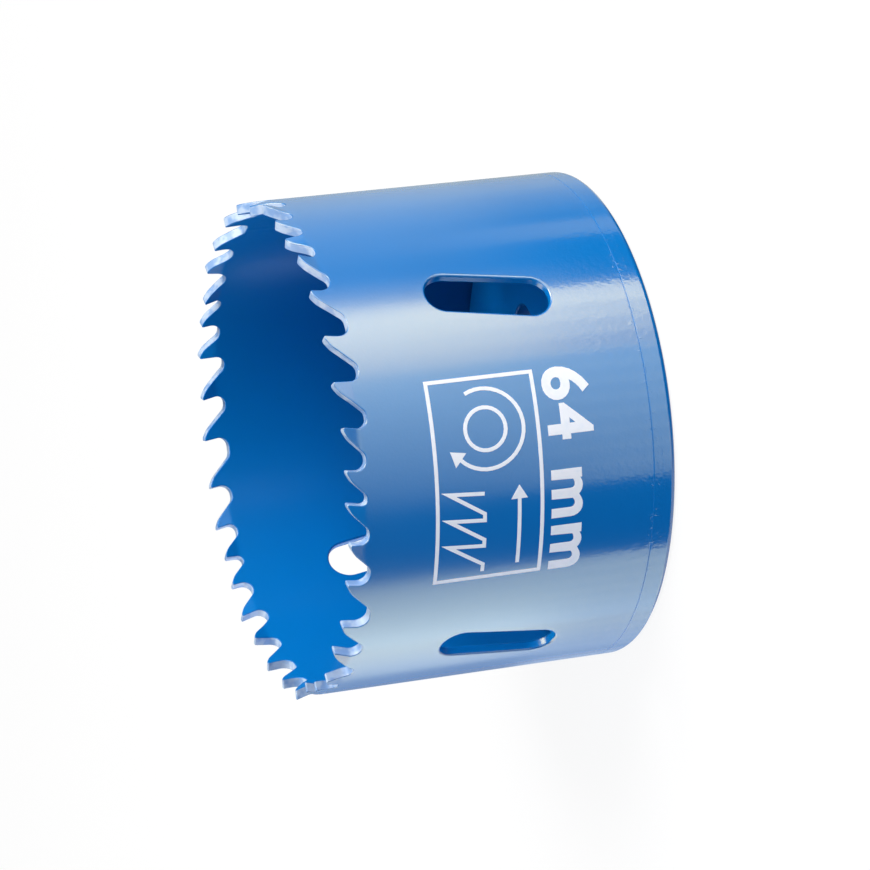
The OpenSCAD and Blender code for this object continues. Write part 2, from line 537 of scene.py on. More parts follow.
# %% Class Shade
class Shade:
    """One socket of a node tree. An expression on it adds Math nodes."""

    def __init__(self, tree, socket=None):
        self.tree, self.socket = tree, socket

    def node(self, kind, settings=None, inputs=None, output=0):
        """Any node: its settings come first, then the values or links of its sockets."""
        made = self.tree.nodes.new(kind)
        for key, value in (settings or {}).items():
            setattr(made, key, value)
        for key, value in (inputs or {}).items():
            if isinstance(value, Shade):
                self.tree.links.new(value.socket, made.inputs[key])
            else:
                made.inputs[key].default_value = value
        return Shade(self.tree, made.outputs[output] if made.outputs else None)

    def maths(self, operation, *values):
        return self.node("ShaderNodeMath", {"operation": operation}, dict(enumerate(values)))

    def __add__(self, other):
        return self.maths("ADD", self, other)

    def __sub__(self, other):
        return self.maths("SUBTRACT", self, other)

    def __rsub__(self, other):
        return self.maths("SUBTRACT", other, self)

    def __mul__(self, other):
        return self.maths("MULTIPLY", self, other)

    def __or__(self, other):
        """Either of two masks: the larger value at each place."""
        return self.maths("MAXIMUM", self, other)

    def __abs__(self):
        return self.maths("ABSOLUTE", self)

    __radd__, __rmul__, __ror__ = __add__, __mul__, __or__

    def between(self, low, high):
        """0 below low, 1 above high, and a smooth change from one to the other."""
        return self.node("ShaderNodeMapRange", {"interpolation_type": "SMOOTHSTEP"},
                         {"Value": self, "From Min": low, "From Max": high})

    def rising(self, low, high):
        """The same for a length, with both limits in millimetres."""
        return self.between(low * MM, high * MM)

    def mix(self, first, second):
        """A colour that goes from the first to the second where this mask goes from 0 to 1."""
        return self.node("ShaderNodeMix", {"data_type": "RGBA"},
                         {0: self, 6: first, 7: second}, output=2)

    def mix_shaders(self, first, second):
        """A shader that goes from the first to the second where this mask goes from 0 to 1."""
        return self.node("ShaderNodeMixShader", inputs={0: self, 1: first, 2: second})


def new_material(name):
    made = bpy.data.materials.new(name)
    made.use_nodes = True
    made.node_tree.nodes.clear()
    return made, Shade(made.node_tree)


# %% [markdown]
# ## Blue lacquer
#
# The finish is a sprayed stoving lacquer: a deep clear blue with a soft, broad gloss. One
# blue with one gloss would look like plastic, because on a real cup the film differs from
# place to place. It is thick and glossy at the plate, and thinner and softer in its gloss
# towards the teeth. There the cut edges carry a painted highlight, a pale base colour in
# patches. The cut faces of the slots are duller, and so is the inside, where the spray
# hardly reached; there the blue is also painted darker towards the bottom, as painted shade.
# Each of these is a mask, and a mask between a glossy and a dull shader does the rest.
#
# The surface has relief too, a few hundredths of a millimetre at most: a faint orange
# peel, stronger over the weld at the plate, with specks of dust along it; a finer grain;
# the groove of that weld; a broken line scored round the plate's edge; and the bead where
# the strip's ends were joined. As geometry it would take millions of faces, so it is a bump.

# %% The lacquer's colours and gloss
LACQUER_BLUE, LACQUER_DEEP = (0.0, 0.19, 0.565, 1), (0.0, 0.171, 0.5085, 1)
# Painted shade: the darker blue that the inner wall is painted towards the bottom of the cup
INSIDE_PAINTED_SHADE = (0.0, 0.02, 0.09, 1)
# Painted highlight: the pale colour painted on the teeth's cut faces
EDGE_PAINTED_HIGHLIGHT = (0.45, 0.56, 0.72, 1)
# Size in millimetres of the blotches in the blue, and of the painted highlight's patches
TINT_SIZE, HIGHLIGHT_PATCH_SIZE = 50 / 3, 1.6
# Roughness where the film is thick, near the plate, and where it is thin, at the teeth
GLOSS_THICK, GLOSS_THIN = 0.13, 0.23
# Highlights on this blue look greyish, so what it mirrors is tinted a warm white
GLOSSY = {"IOR": 1.9, "Specular IOR Level": 0.9, "Specular Tint": (1, 0.86, 0.35, 1)}
DULL = {"Roughness": 0.28, "IOR": 1.5, "Specular IOR Level": 0.4}
# Shares: gloss lost by the slots' cut faces and by the groove at the plate, painted
# highlight on a cut edge outside its patches, and painted shade in the bottom of the cup
SLOT_DULLNESS, SEAM_DULLNESS = 0.65, 0.8
HIGHLIGHT_OUTSIDE_PATCHES = 0.5
INSIDE_SHADE_SHARE = 0.6

# %% The lacquer's relief
# Sizes across the surface and heights above it, in millimetres
PEEL_SIZE, PEEL_HEIGHT = 0.7, 0.014
PEEL_DETAIL, PEEL_ROUGHNESS = 1.5, 0.4
GRAIN_SIZE, GRAIN_HEIGHT = 0.3, 0.005
SPECK_SIZE, SPECK_HEIGHT, SPECK_BAND = 0.45, 0.015, 2.4
STRIP_WELD_WIDTH, STRIP_WELD_HEIGHT = 1.4, 0.03
SEAM_WIDTH, SEAM_DEPTH = 0.3, 0.005
SCORE_Z, SCORE_WIDTH, SCORE_HEIGHT = 1.75, 0.3, 0.005
# Share of the peel that is left away from the plate's weld, how far that weld reaches,
# and the height above the plate over which the strip's weld sets in
PEEL_ELSEWHERE = 0.15
PLATE_WELD_REACH = 11.0
STRIP_WELD_START = 0.5

# %% Where the film changes
# Heights between which a mask rises: from the back edge, over the plate's top, from the
# bottom of the cup with its painted shade to its open end, from below the slots, and from
# below the teeth
BACK_EDGE = (0, 2)
OVER_PLATE = (5, 6)
INSIDE_SHADE_FADE = (8, 30)
FROM_SLOTS = (6, 8)
FROM_TEETH = (30, 34)
# Which way a face looks, as a cosine: towards the axis, across the wall, upwards
INWARDS, ACROSS, UPWARDS = (-0.2, 0.0), (0.1, 0.6), (0.5, 0.9)
# Which values of a noise make the painted highlight's patches, specks, and the unbroken parts of the score
HIGHLIGHT_PATCHES, SPECKS, SCORE_PARTS = (0.4, 0.6), (0.68, 0.76), (0.45, 0.6)


# %% Masks for the lacquer
def noise(shade, place, size, detail, roughness=0.5):
    """A noise from 0 to 1, with blotches of that size in millimetres."""
    return shade.node("ShaderNodeTexNoise", inputs={
        "Vector": place, "Scale": 1 / (size * MM), "Detail": detail, "Roughness": roughness})


def dot(shade, first, second):
    return shade.node("ShaderNodeVectorMath", {"operation": "DOT_PRODUCT"}, {0: first, 1: second}, "Value")


def near(value, middle, width):
    """1 where a length is at the middle, and 0 from half the width away from it."""
    return 1 - abs(value - middle * MM).rising(0, width / 2)


def weld_bead(shade, place, z):
    """1 along the weld that closes the ring, 0 away from it and on the plate."""
    turn = FIRST_TOOTH + weld_x / body_r
    aside = dot(shade, place, (-math.sin(turn), math.cos(turn), 0))
    this_side = dot(shade, place, (math.cos(turn), math.sin(turn), 0)).rising(0, 1)
    above_plate = z.rising(plate_t, plate_t + STRIP_WELD_START)
    return near(aside, 0, STRIP_WELD_WIDTH) * this_side * above_plate


def facing(shade, place, normal):
    """1 on a face that looks away from the axis, -1 towards it, 0 on faces cut across the wall."""
    level = shade.node("ShaderNodeVectorMath", {"operation": "MULTIPLY"}, {0: place, 1: (1, 1, 0)})
    outwards = shade.node("ShaderNodeVectorMath", {"operation": "NORMALIZE"}, {0: level})
    return dot(shade, outwards, normal)


# %% The lacquer's bump
def lacquer_bump(shade, place, z, seam):
    near_weld = z.rising(*BACK_EDGE) * (1 - z.rising(flange_t, flange_t + PLATE_WELD_REACH))
    strength = PEEL_ELSEWHERE + (1 - PEEL_ELSEWHERE) * near_weld
    peel = noise(shade, place, PEEL_SIZE, PEEL_DETAIL, PEEL_ROUGHNESS) * strength
    grit = noise(shade, place, SPECK_SIZE, 0.0)
    specks = grit.between(*SPECKS) * near(z, flange_t, SPECK_BAND)
    score = grit.between(*SCORE_PARTS) * near(z, SCORE_Z, SCORE_WIDTH)
    surface = (peel * PEEL_HEIGHT + noise(shade, place, GRAIN_SIZE, 0.0) * GRAIN_HEIGHT
               + specks * SPECK_HEIGHT + score * SCORE_HEIGHT
               + weld_bead(shade, place, z) * STRIP_WELD_HEIGHT - seam * SEAM_DEPTH)
    return shade.node("ShaderNodeBump", inputs={"Height": surface, "Distance": MM, "Strength": 1.0})


# %% The lacquer
def lacquer():
    made, shade = new_material("blue_lacquer")
    place = shade.node("ShaderNodeTexCoord", output="Object")
    normal = shade.node("ShaderNodeNewGeometry", output="Normal")
    z = shade.node("ShaderNodeSeparateXYZ", inputs={"Vector": place}, output="Z")
    outwards = facing(shade, place, normal)
    inner_wall = 1 - outwards.between(*INWARDS)
    plate_top = dot(shade, normal, (0, 0, 1)).between(*UPWARDS) * (1 - z.rising(*OVER_PLATE))
    cut = (1 - abs(outwards).between(*ACROSS)) * z.rising(*FROM_SLOTS)
    at_teeth = z.rising(*FROM_TEETH)
    seam = near(z, flange_t, SEAM_WIDTH)

    # Painted shade: the inner wall's blue is painted darker towards the bottom of the cup
    depth = inner_wall * (1 - z.rising(*INSIDE_SHADE_FADE)) * INSIDE_SHADE_SHARE
    # Painted highlight: the teeth's cut faces are painted pale in the base colour, in patches
    highlight_patches = noise(shade, place, HIGHLIGHT_PATCH_SIZE, 2.0).between(*HIGHLIGHT_PATCHES)
    painted_edge_highlight = cut * at_teeth * (HIGHLIGHT_OUTSIDE_PATCHES + (1 - HIGHLIGHT_OUTSIDE_PATCHES) * highlight_patches)
    blue = noise(shade, place, TINT_SIZE, 2.0).mix(LACQUER_BLUE, LACQUER_DEEP)
    film = {"Base Color": painted_edge_highlight.mix(depth.mix(blue, INSIDE_PAINTED_SHADE), EDGE_PAINTED_HIGHLIGHT),
            "Normal": lacquer_bump(shade, place, z, seam)}

    thinness = z.rising(flange_t, height)
    glossy = shade.node("ShaderNodeBsdfPrincipled", inputs={
        "Roughness": GLOSS_THICK + thinness * (GLOSS_THIN - GLOSS_THICK), **film, **GLOSSY})
    dull = shade.node("ShaderNodeBsdfPrincipled", inputs={**film, **DULL})
    cut_dullness = cut * (SLOT_DULLNESS + (1 - SLOT_DULLNESS) * at_teeth)
    without_gloss = inner_wall | plate_top | cut_dullness | seam * SEAM_DULLNESS
    shade.node("ShaderNodeOutputMaterial", inputs={"Surface": without_gloss.mix_shaders(glossy, dull)})
    return made


lacquered = lacquer()
print("lacquer of", len(lacquered.node_tree.nodes), "nodes")

# %% [markdown]
# ## The toothed shell
#
# Now the strip can be made. Its free edges get their rows: the toothed rim, the foot
# that meets the plate, and the four slots. The broad faces are filled between them with
# the same triangles outside and inside, and the whole skin is rolled up.

# %% Shell sizes
TOOTH_EDGE_R = 0.14
SLOT_EDGE_R = 0.3
FOOT_GROOVE_R = 0.03
FOOT_INNER_R = 0.05
# Longest piece of the rim, steps round the ring, and points along the welded joint
RIM_PIECE = 0.55
RING_STEPS = 180
WELD_POINTS = 24
# Steps of the grid, the finer ones among the teeth, and its distance from the edges
GRID_X, GRID_Y = 1.2, 1.6
FINE_Y, FINE_FROM = 0.45, height - 5
GRID_GAP = 0.4 * FINE_Y


# %% The strip's skin
def shell_skin():
    skin = Skin()
    fine_rim = divided(rim, RIM_PIECE)
    foot_xs = np.linspace(weld_x, weld_x - rim_l, RING_STEPS + 1)
    foot = np.column_stack([foot_xs, np.full(len(foot_xs), flange_t)])
    rim_outer, rim_inner = edge_rows(skin, fine_rim, False, wall, TOOTH_EDGE_R, TOOTH_EDGE_R)
    foot_outer, foot_inner = edge_rows(skin, foot, False, wall, FOOT_GROOVE_R, FOOT_INNER_R)
    slot_rows = [edge_rows(skin, slot, True, wall, SLOT_EDGE_R, SLOT_EDGE_R) for slot in slots]
    for side, depth, sign in ((0, wall, 1), (1, 0, -1)):
        top = [rim_outer, rim_inner][side]
        bottom = [foot_outer, foot_inner][side]
        low, high = skin.points[bottom[0]][1], skin.points[top[-1]][1]
        weld_ys = np.linspace(high, low, WELD_POINTS)[1:-1]
        flat_n = [(0, 0, sign)] * len(weld_ys)
        right = skin.add([(weld_x, y, depth) for y in weld_ys], flat_n)
        left = skin.add([(weld_x - rim_l, y, depth) for y in weld_ys[::-1]], flat_n)
        border = np.concatenate([top, right, bottom, left])
        loops = [border] + [rows[side] for rows in slot_rows]
        fill_face(skin, loops, depth, sign, strip_grid(), GRID_GAP)
    return skin


def strip_grid():
    """A loose grid over the strip, closer together among the teeth."""
    coarse = [flange_t + GRID_Y * k for k in range(int((FINE_FROM - flange_t) / GRID_Y) + 1)]
    fine = list(np.arange(FINE_FROM, height, FINE_Y))
    points = []
    for row, y in enumerate(coarse + fine):
        step = GRID_X if y < FINE_FROM else GRID_X / 2
        shift = step / 2 * (1 + row % 2)
        points += [(x, y) for x in np.arange(weld_x - rim_l + shift, weld_x - step / 4, step)]
    return np.array(points)


make_piece("rolled_shell", make_mesh("rolled_shell", shell_skin(), roll_up), lacquered,
           "toothed_shell")

# %% [markdown]
# ## The white print
#
# Such cups carry a screen print in white ink between two slots. This one is plain: the
# diameter of the hole in bold figures, and a thin frame with signs for the turning
# direction and the kind of teeth. It reads with the teeth down. The shapes are drawn flat
# and upright, turned half round, made a few hundredths of a millimetre thick, and rolled
# up by the same function as the strip. Like the rim's path, each outline keeps what is
# solid, here the ink, on its right. The words come from Blender's own font, which is too
# thin: its outlines are followed round the letters, moved outwards and cleared of spikes.

# %% Print sizes
PRINT_TURN = math.radians(227.5)
PRINT_Z = 21.2
PRINT_LEFT, PRINT_RIGHT = -12.9, 12.9
LINE_W = 0.48
FRAME_LOW, FRAME_HIGH = -10.3, 3.7
# The words, and what is added to each side of their strokes
WORDS, BOLD = "64 mm", 0.22
WORDS_LOW, WORDS_TALL = 4.6, 6.0
LETTER_SPACE, CURVE_STEPS = 1.1, 5
# The ring, the arrow that turns round it, the straight arrow and the teeth under it
RING_X = -6.4
RING_R, TURNING_R = 2.6, 4.9
TURN_FROM, TURN_TO = math.radians(205), math.radians(-45)
ARROW_FROM, ARROW_TO, ARROW_Y = 11.2, 2.6, 0.5
ARROW_HEAD, HEAD_LENGTH = 1.1, 1.6
SAW_X, SAW_Y, SAW_TEETH = 0.6, -8.6, 3
SAW_PITCH, SAW_DEPTH = 3.4, 4.6
# Shares of the pitch: ahead of the first tip, up its face, up its back, and past the last
SAW_START, SAW_FACE, SAW_BACK, SAW_END = 0.15, 0.1, 0.85, 0.3


# %% Lines of the print
def frame_line(x0, y0, x1, y1, w):
    outer = [(x0, y0), (x0, y1), (x1, y1), (x1, y0)]
    inner = [(x0 + w, y0 + w), (x1 - w, y0 + w), (x1 - w, y1 - w), (x0 + w, y1 - w)]
    return [np.array(outer, float), np.array(inner, float)]


def stroke(points, w):
    """The outline of a line of width w along the points."""
    path = np.array(points, float)
    aside = edge_sides(path, False)[1] * w / 2
    return [np.concatenate([path - aside, (path + aside)[::-1]])]


def arrow(path, w, head):
    """The outline of a line that ends in an arrow head beyond the path's last point."""
    aside = edge_sides(path, False)[1]
    tip = path[-1] + unit(path[-1] - path[-2]) * HEAD_LENGTH * head
    barbs = [path[-1] - aside[-1] * head, tip, path[-1] + aside[-1] * head]
    return [np.concatenate([path - aside * w / 2, barbs, (path + aside * w / 2)[::-1]])]


def arc(centre, radius, first, last, steps=30):
    """Places on a circle round a centre, from the first to the last angle."""
    return centre + circle(radius, steps + 1, first, last)


def tooth_row(x, y, count, pitch, deep):
    """Places along a row of teeth that point down, with their cutting faces on the left."""
    points = []
    for k in range(count):
        tip = x + (k + SAW_START) * pitch
        points += [(tip + SAW_FACE * pitch, y + deep), (tip, y), (tip + SAW_BACK * pitch, y + deep)]
    return points + [(x + (count + SAW_END) * pitch, y + deep)]


# %% Words of the print
SAME_LETTER_POINT = 1e-5
# Shortest steps along a letter, before and after it is made bolder, as shares of its height
SHORTEST, SHORTEST_BOLD = 0.02, 0.03
# Cosine of a turn right back, and share of the way out that a moved point has to keep
TURNED_BACK, KEPT_CLEAR = -0.95, 0.95


def without_spikes(loop, shortest):
    """The loop without crowded points, and without points where it turns right back."""
    while True:
        behind, ahead = loop - np.roll(loop, 1, axis=0), np.roll(loop, -1, axis=0) - loop
        lengths = np.linalg.norm(behind, axis=1), np.linalg.norm(ahead, axis=1)
        turned_back = (behind * ahead).sum(1) < TURNED_BACK * lengths[0] * lengths[1]
        bad = (lengths[0] < shortest) | turned_back
        if not bad.any():
            return loop
        loop = np.delete(loop, np.argmax(bad), axis=0)


def distance(point, loop):
    """From a point to the nearest place on a loop."""
    sides = np.roll(loop, -1, axis=0) - loop
    shares = np.clip(((point - loop) * sides).sum(1) / (sides ** 2).sum(1), 0, 1)
    return np.linalg.norm(point - loop - shares[:, None] * sides, axis=1).min()


def bolder(loop, amount):
    """The loop moved out of its ink, so that a stroke gets wider on both sides."""
    stretched = edge_sides(loop, True)[1]
    behind, ahead = loop - np.roll(loop, 1, axis=0), np.roll(loop, -1, axis=0) - loop
    bulges = behind[:, 0] * ahead[:, 1] < behind[:, 1] * ahead[:, 0]
    blunting = np.where(bulges, np.maximum(1, np.linalg.norm(stretched, axis=1) / 2), 1)
    moved = loop - stretched * amount / blunting[:, None]
    return np.array([p for p in moved if distance(p, loop) > KEPT_CLEAR * amount])


def text(words, x, y, wide, tall, extra):
    """Outlines of words that fill a box, from its lower left corner, in strokes made bolder."""
    curve = bpy.data.curves.new("words", "FONT")
    curve.body, curve.resolution_u, curve.space_character = words, CURVE_STEPS, LETTER_SPACE
    holder = bpy.data.objects.new("words", curve)
    mesh = bpy.data.meshes.new_from_object(holder)
    flat = bmesh.new()
    flat.from_mesh(mesh)
    bmesh.ops.remove_doubles(flat, verts=flat.verts, dist=SAME_LETTER_POINT)
    ahead = {loop.link_loop_next.vert: loop.vert for face in flat.faces for loop in face.loops
             if loop.edge.is_boundary}
    loops = []
    while ahead:
        first, after = ahead.popitem()
        loop = [first]
        while after in ahead:
            loop.append(after)
            after = ahead.pop(after)
        loops.append(np.array([v.co[:2] for v in loop]))
    flat.free()
    bpy.data.objects.remove(holder)
    bpy.data.curves.remove(curve)
    bpy.data.meshes.remove(mesh)
    low, high = np.concatenate(loops).min(0), np.concatenate(loops).max(0)
    scale = (np.array([wide, tall]) - 2 * extra) / (high - low)
    placed = [(loop - low) * scale + [x + extra, y + extra] for loop in loops]
    clean = [without_spikes(loop, SHORTEST * tall) for loop in placed]
    return [without_spikes(bolder(loop, extra), SHORTEST_BOLD * tall) for loop in clean]


# %% The whole print
def print_shapes():
    middle = np.array([RING_X, (FRAME_LOW + FRAME_HIGH) / 2])
    ring = [arc(middle, RING_R + side * LINE_W / 2, 0, -side * 2 * math.pi)[:-1] for side in (1, -1)]
    turning = arrow(arc(middle, TURNING_R, TURN_FROM, TURN_TO), LINE_W, ARROW_HEAD)
    straight = arrow(np.array([(ARROW_FROM, ARROW_Y), (ARROW_TO, ARROW_Y)]), LINE_W, ARROW_HEAD)
    sawing = stroke(tooth_row(SAW_X, SAW_Y, SAW_TEETH, SAW_PITCH, SAW_DEPTH), LINE_W)
    return (frame_line(PRINT_LEFT, FRAME_LOW, PRINT_RIGHT, FRAME_HIGH, LINE_W)
            + text(WORDS, PRINT_LEFT, WORDS_LOW, PRINT_RIGHT - PRINT_LEFT, WORDS_TALL, BOLD)
            + ring + turning + straight + sawing)


# %% Print to skin
# How far the ink stands out of the wall and reaches into it, and its edges' radii
INK_OUT, INK_IN = 0.03, 0.03
INK_EDGE_OUT, INK_EDGE_IN = 0.02, 0.01
# Step of the grid and longest piece of an outline, and the grid's distance from outlines
INK_STEP, INK_GAP = 0.8, 0.2


def ink_skin():
    skin = Skin()
    centre = np.array([(PRINT_TURN - FIRST_TOOTH) * body_r, PRINT_Z])
    thick = INK_IN + INK_OUT
    rows = []
    for shape in print_shapes():
        path = divided(np.concatenate([shape, shape[:1]]), INK_STEP)[:-1]
        rows.append(edge_rows(skin, centre - path, True, thick, INK_EDGE_OUT, INK_EDGE_IN, steps=2))
    grid = np.array([centre + (x, y) for x in np.arange(PRINT_LEFT, PRINT_RIGHT + INK_GAP, INK_STEP)
                     for y in np.arange(-WORDS_LOW - WORDS_TALL, 1 - FRAME_LOW, INK_STEP)])
    for side, depth, sign in ((0, thick, 1), (1, 0, -1)):
        fill_face(skin, [pair[side] for pair in rows], depth, sign, grid, INK_GAP)
    return skin


def on_wall(points, normals):
    """Rolls up the print like the strip, sunk a little into the outer face."""
    return roll_up(points + [0, 0, wall - INK_IN], normals)


# %% [markdown]
# The ink is a matt opaque white. It is a little thinner in places, where some of the blue
# shows through, so a noise mixes two whites. Nothing else about it varies.

# %% The ink
INK_WHITE, INK_THIN = (0.93, 0.93, 0.92, 1), (0.87, 0.89, 0.91, 1)
INK_ROUGHNESS = 0.45
COVER_SIZE = 10 / 9
THIN_PLACES = (0.45, 0.75)


def ink():
    made, shade = new_material("white_ink")
    place = shade.node("ShaderNodeTexCoord", output="Object")
    cover = noise(shade, place, COVER_SIZE, 3.0).between(*THIN_PLACES)
    surface = shade.node("ShaderNodeBsdfPrincipled", inputs={
        "Base Color": cover.mix(INK_WHITE, INK_THIN), "Roughness": INK_ROUGHNESS})
    shade.node("ShaderNodeOutputMaterial", inputs={"Surface": surface})
    return made


make_piece("white_print", make_mesh("white_print", ink_skin(), on_wall), ink())

# %% [markdown]
# ## The threaded bore
#
# The plate screws onto an arbor through a 5/8 inch thread with 18 turns to the inch. A
# spiral drawn as a swept profile would have to be joined to the plate with a boolean. A
# neater way is a grid of columns round the bore, in which each column is the same thread
# profile shifted up by its share of one pitch. Points that would pass the plate's faces
# are held at them, and a cone opens the bore at both ends.

# %% Thread sizes
THREAD_PITCH = 25.4 / 18
THREAD_R = 15.875 / 2
LEAD_C = 0.8
THREAD_COLUMNS = 120
# One pitch of the profile: share of the pitch, and share of the way from crest to root
THREAD_PROFILE = [(0.0, 0), (0.02, 0.0), (0.22, 0.0), (0.25, 0.03), (0.40, 0.5),
                  (0.54, 0.97), (0.57, 1), (0.67, 1), (0.70, 0.97), (0.84, 0.5), (0.97, 0.03)]


# %% The bore's skin
# A cross product shorter than this has no direction
NO_NORMAL = 1e-9


def add_thread(skin):
    """Adds the thread's grid, which ends in a round loop at both faces of the plate."""
    turns = np.linspace(0, 2 * math.pi, THREAD_COLUMNS + 1)
    pitches = math.ceil(plate_t / THREAD_PITCH) + 1
    shares, depths = np.array(THREAD_PROFILE).T
    rows = []
    for pitch in range(-1, pitches):
        for share, depth in zip(shares, depths):
            z = (pitch + share + turns / (2 * math.pi)) * THREAD_PITCH
            held = np.clip(z, 0, plate_t)
            thread_r = bore_r + depth * (THREAD_R - bore_r)
            cone_r = bore_r + LEAD_C - np.minimum(held, plate_t - held)
            radius = np.maximum(thread_r, cone_r)
            rows.append(np.column_stack([radius * np.cos(turns), radius * np.sin(turns), held]))
    grid = np.array(rows)
    normals = np.cross(np.gradient(grid, axis=0), np.gradient(grid, axis=1))
    inward = -grid * [1, 1, 0]
    weak = np.linalg.norm(normals, axis=2) < NO_NORMAL
    normals[weak] = inward[weak]
    normals /= np.linalg.norm(normals, axis=2)[..., None]
    numbers = [skin.add(points, row_normals) for points, row_normals in zip(grid, normals)]
    skin.bridge(numbers[::-1], closed=False)


# %% [markdown]
# ## The back plate
#
# The plate is turned: a flange that the shell stands on, a spigot inside it, and a fine
# groove left along the weld. Its two faces are filled like the shell's, with the pin
# holes' rounded edges between them, and its rim is a profile turned round the axis.

# %% Plate sizes
PLATE_EDGE_R = 0.8
SPIGOT_GAP = 0.05
SPIGOT_C = 0.4
PIN_TURN = math.radians(-6)
PIN_EDGE_R = 0.35
PIN_STEPS = 48
BACK_EDGE_POINTS, GROOVE_POINTS = 9, 6
# Step of the grid on its faces, and the grid's distance from their edges
PLATE_GRID, PLATE_GAP = 2.5, 1.0


# %% The plate's skin
def plate_profile():
    """Radius, height and slope of normal from the back face round the rim to the spigot's top."""
    back_edge = [(body_r - PLATE_EDGE_R + PLATE_EDGE_R * math.sin(a),
                  PLATE_EDGE_R - PLATE_EDGE_R * math.cos(a), a)
                 for a in np.linspace(0, math.pi / 2, BACK_EDGE_POINTS)]
    groove = [(body_r - FOOT_GROOVE_R + FOOT_GROOVE_R * math.cos(a),
               flange_t - FOOT_GROOVE_R + FOOT_GROOVE_R * math.sin(a), math.pi / 2 + a)
              for a in np.linspace(0, math.pi / 2, GROOVE_POINTS)]
    spigot_r = inner_r - SPIGOT_GAP
    spigot = [(spigot_r, flange_t, math.pi), (spigot_r, flange_t, math.pi / 2),
              (spigot_r, plate_t - SPIGOT_C, math.pi / 2), (spigot_r, plate_t - SPIGOT_C, math.pi * 0.75),
              (spigot_r - SPIGOT_C, plate_t, math.pi * 0.75), (spigot_r - SPIGOT_C, plate_t, math.pi)]
    return back_edge + groove + spigot


def plate_skin():
    skin = Skin()
    ring = circle(1, RING_STEPS + 1)[:-1]
    rows = []
    for radius, z, a in plate_profile():
        points = np.column_stack([ring * radius, np.full(RING_STEPS, z)])
        normals = np.column_stack([ring * math.sin(a), np.full(RING_STEPS, -math.cos(a))])
        rows.append(skin.add(points, normals))
    skin.bridge(rows, closed=True)
    add_thread(skin)
    pins = []
    for k in range(pin_n):
        turn = PIN_TURN + 2 * math.pi * k / pin_n
        centre = np.array([pin_circle_r * math.cos(turn), pin_circle_r * math.sin(turn)])
        hole = centre + circle(pin_r, PIN_STEPS + 1)[:-1]
        pins.append(edge_rows(skin, hole, True, plate_t, PIN_EDGE_R, PIN_EDGE_R))
    steps = np.arange(-body_r, body_r, PLATE_GRID)
    grid = np.array([(x, y) for x in steps for y in steps])
    mouth = circle(bore_r + LEAD_C, THREAD_COLUMNS + 1)[:-1]
    for side, z, sign in ((0, plate_t, 1), (1, 0, -1)):
        rim_row = rows[-1] if side == 0 else rows[0]
        mouth_points = np.column_stack([mouth, np.full(len(mouth), z)])
        mouth_row = skin.add(mouth_points, [(0, 0, sign)] * len(mouth))
        fill_face(skin, [rim_row, mouth_row] + [pair[side] for pair in pins], z, sign, grid, PLATE_GAP)
    return skin


make_piece("turned_plate", make_mesh("turned_plate", plate_skin()), lacquered,
           "back_plate")

# %% [markdown]
# ## Floor
#
# The tool stands on a white table. Most of its white is a glow that the camera alone
# sees, and the rest is matt and catches the tool's shadow. The table takes no part in the
# lighting, so the softboxes can reach below the tool's foot as they would round a tool
# that hangs in a light tent. Its underside is clear, which lets the back plate be seen.

# %% The floor
# Width of the table in metres, and the share of its white that is a glow
FLOOR_SIZE = 6.0
FLOOR_GLOW = 0.88
FLOOR_WHITE = (0.95, 0.95, 0.95, 1)
PURE_WHITE = (1, 1, 1, 1)


def white_table():
    made, shade = new_material("white_table")
    matt = shade.node("ShaderNodeBsdfDiffuse", inputs={"Color": FLOOR_WHITE})
    glow = shade.node("ShaderNodeEmission", inputs={"Color": PURE_WHITE, "Strength": 1.0})
    seen = shade.node("ShaderNodeLightPath", output="Is Camera Ray")
    under = shade.node("ShaderNodeNewGeometry", output="Backfacing")
    clear = shade.node("ShaderNodeBsdfTransparent")
    shown = under.mix_shaders((seen * FLOOR_GLOW).mix_shaders(matt, glow), clear)
    shade.node("ShaderNodeOutputMaterial", inputs={"Surface": shown})
    return made


def make_floor():
    mesh = bpy.data.meshes.new("floor")
    half = FLOOR_SIZE / 2
    corners = [(-half, -half, 0), (half, -half, 0), (half, half, 0), (-half, half, 0)]
    mesh.from_pydata(corners, [], [(0, 1, 2, 3)])
    mesh.materials.append(white_table())
    floor = new_object("floor", mesh)
    floor.visible_diffuse = floor.visible_glossy = floor.visible_shadow = False


make_floor()
print(f"white table, {FLOOR_SIZE:.0f} m wide")

# %% [markdown]
# ## Light
#
# A glossy cylinder is lit by what it reflects, so its bands are drawn by the softboxes.
# Low and high ones stand round it in pairs: bright ones on the left, dim ones in front,
# bright ones on the right and faint ones on the far side. The gap between the left and
# the front pair draws the deep blue band. The right pair stops short, and its edge is the
# crisp one beside the upper slot. The fills and the tops stand higher and light the inside
# of the cup, and those under the tool draw the pale back edge. The cloth of a softbox is
# brighter at one end, so each is built as a row of narrow lamps in even steps.

# %% Softboxes
# How far each lamp stands from the middle of the tool, in metres
LIGHT_DISTANCE = 0.8
# How wide one lamp of a row may be, in degrees as seen from the tool
WIDEST_LAMP = 8
# Light through cloth turns a little colder, and light off a warm wall a little warmer
PLAIN, COOL, COLD, WARM = (1, 1, 1), (1, 1.16, 1.4), (1, 1.26, 1.9), (1, 1.0, 0.8)
